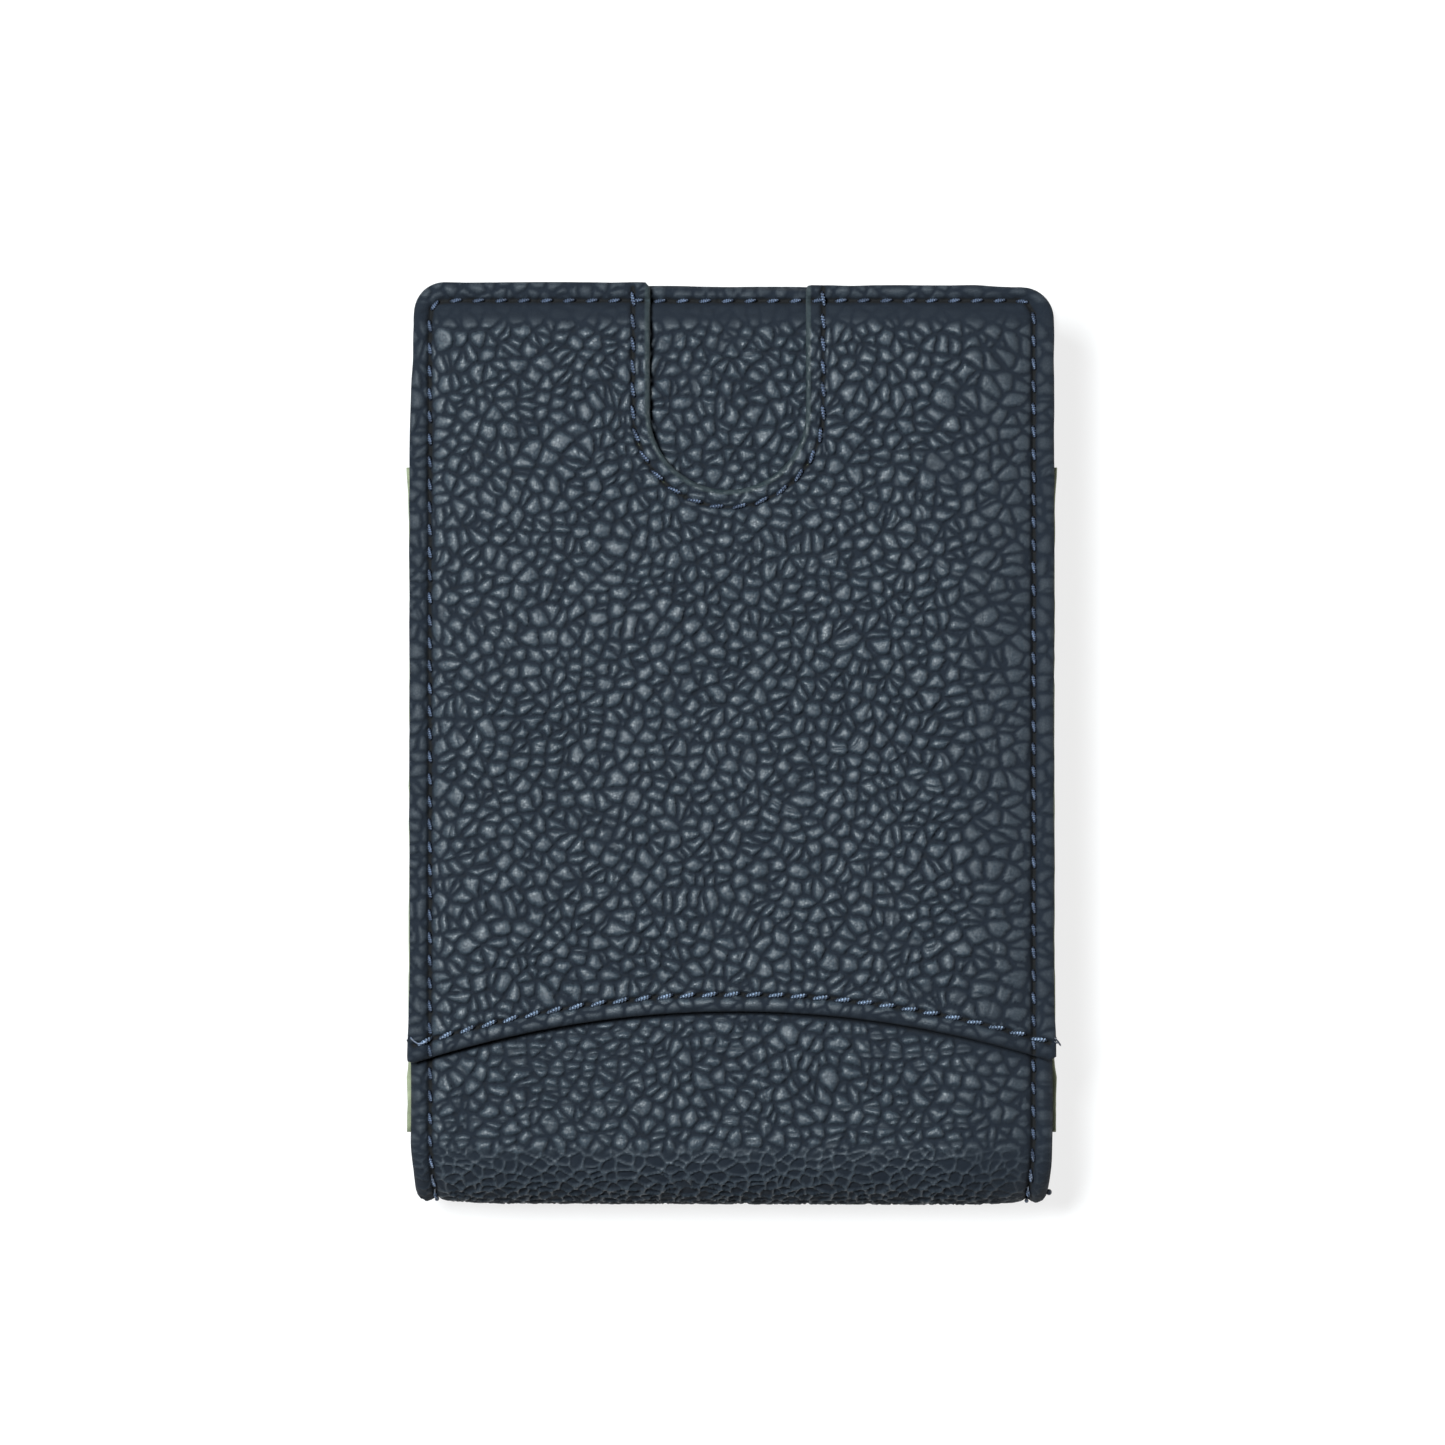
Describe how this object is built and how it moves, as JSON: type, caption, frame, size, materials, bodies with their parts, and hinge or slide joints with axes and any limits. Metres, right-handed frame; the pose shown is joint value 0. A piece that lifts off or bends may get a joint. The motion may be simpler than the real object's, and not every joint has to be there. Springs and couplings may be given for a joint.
{
  "type": "card holder",
  "caption": "Accordion card case: padded pebbled faux-leather covers folded round the bottom, fan-folded side gussets, divider walls and a front pass pocket with a thumb notch.",
  "frame": {"origin": "middle of the case's bounding box on its flat back face, z = 0, where it lies", "axes": "+X across the case to the right as seen from the front, +Y from the folded bottom to the open top, +Z from the back cover to the front cover"},
  "size_m": [0.07, 0.1, 0.016],
  "materials": {
    "navy_leather": "pebbled, satin",
    "olive_lining": "matte",
    "foam": "matte",
    "greyboard": "matte",
    "magnet": "nickel plated"
  },
  "bodies": {
    "back_cover": {"back_leather": "navy_leather", "back_padding": "foam", "back_board": "greyboard", "back_lining": "olive_lining", "back_magnet_left": "magnet", "back_magnet_right": "magnet", "spine_leather": "navy_leather", "spine_lining": "olive_lining", "gusset_left": "olive_lining", "gusset_right": "olive_lining"},
    "front_cover": {"front_leather": "navy_leather", "front_padding": "foam", "front_board": "greyboard", "front_lining": "olive_lining", "front_magnet_left": "magnet", "front_magnet_right": "magnet", "pass_pocket_leather": "navy_leather", "pass_pocket_lining": "olive_lining"},
    "divider_1_leaf": {"divider_1": "olive_lining", "divider_1_binding": "navy_leather"},
    "divider_2_leaf": {"divider_2": "olive_lining", "divider_2_binding": "navy_leather"},
    "divider_3_leaf": {"divider_3": "olive_lining", "divider_3_binding": "navy_leather"},
    "divider_4_leaf": {"divider_4": "olive_lining", "divider_4_binding": "navy_leather"},
    "divider_5_leaf": {"divider_5": "olive_lining", "divider_5_binding": "navy_leather"}
  },
  "joints": [
    {"name": "front_open", "type": "hinge", "parent": "back_cover", "child": "front_cover", "pos_m": [0, -0.04278, 0.00722], "axis": [1, 0, 0], "range_deg": [0, 30], "deforming": ["spine_leather", "gusset_left", "gusset_right"]},
    {"name": "divider_1_fan", "type": "hinge", "parent": "back_cover", "child": "divider_1_leaf", "pos_m": [0, -0.04278, 0.00722], "axis": [1, 0, 0], "range_deg": [0, 5.01]},
    {"name": "divider_2_fan", "type": "hinge", "parent": "back_cover", "child": "divider_2_leaf", "pos_m": [0, -0.04278, 0.00722], "axis": [1, 0, 0], "range_deg": [0, 10.01]},
    {"name": "divider_3_fan", "type": "hinge", "parent": "back_cover", "child": "divider_3_leaf", "pos_m": [0, -0.04278, 0.00722], "axis": [1, 0, 0], "range_deg": [0, 15.01]},
    {"name": "divider_4_fan", "type": "hinge", "parent": "back_cover", "child": "divider_4_leaf", "pos_m": [0, -0.04278, 0.00722], "axis": [1, 0, 0], "range_deg": [0, 20.01]},
    {"name": "divider_5_fan", "type": "hinge", "parent": "back_cover", "child": "divider_5_leaf", "pos_m": [0, -0.04278, 0.00722], "axis": [1, 0, 0], "range_deg": [0, 25.01]}
  ],
  "couplings": [
    {"joint": "divider_1_fan", "follows": "front_open", "ratio": 0.16667},
    {"joint": "divider_2_fan", "follows": "front_open", "ratio": 0.33333},
    {"joint": "divider_3_fan", "follows": "front_open", "ratio": 0.5},
    {"joint": "divider_4_fan", "follows": "front_open", "ratio": 0.66667},
    {"joint": "divider_5_fan", "follows": "front_open", "ratio": 0.83333}
  ]
}
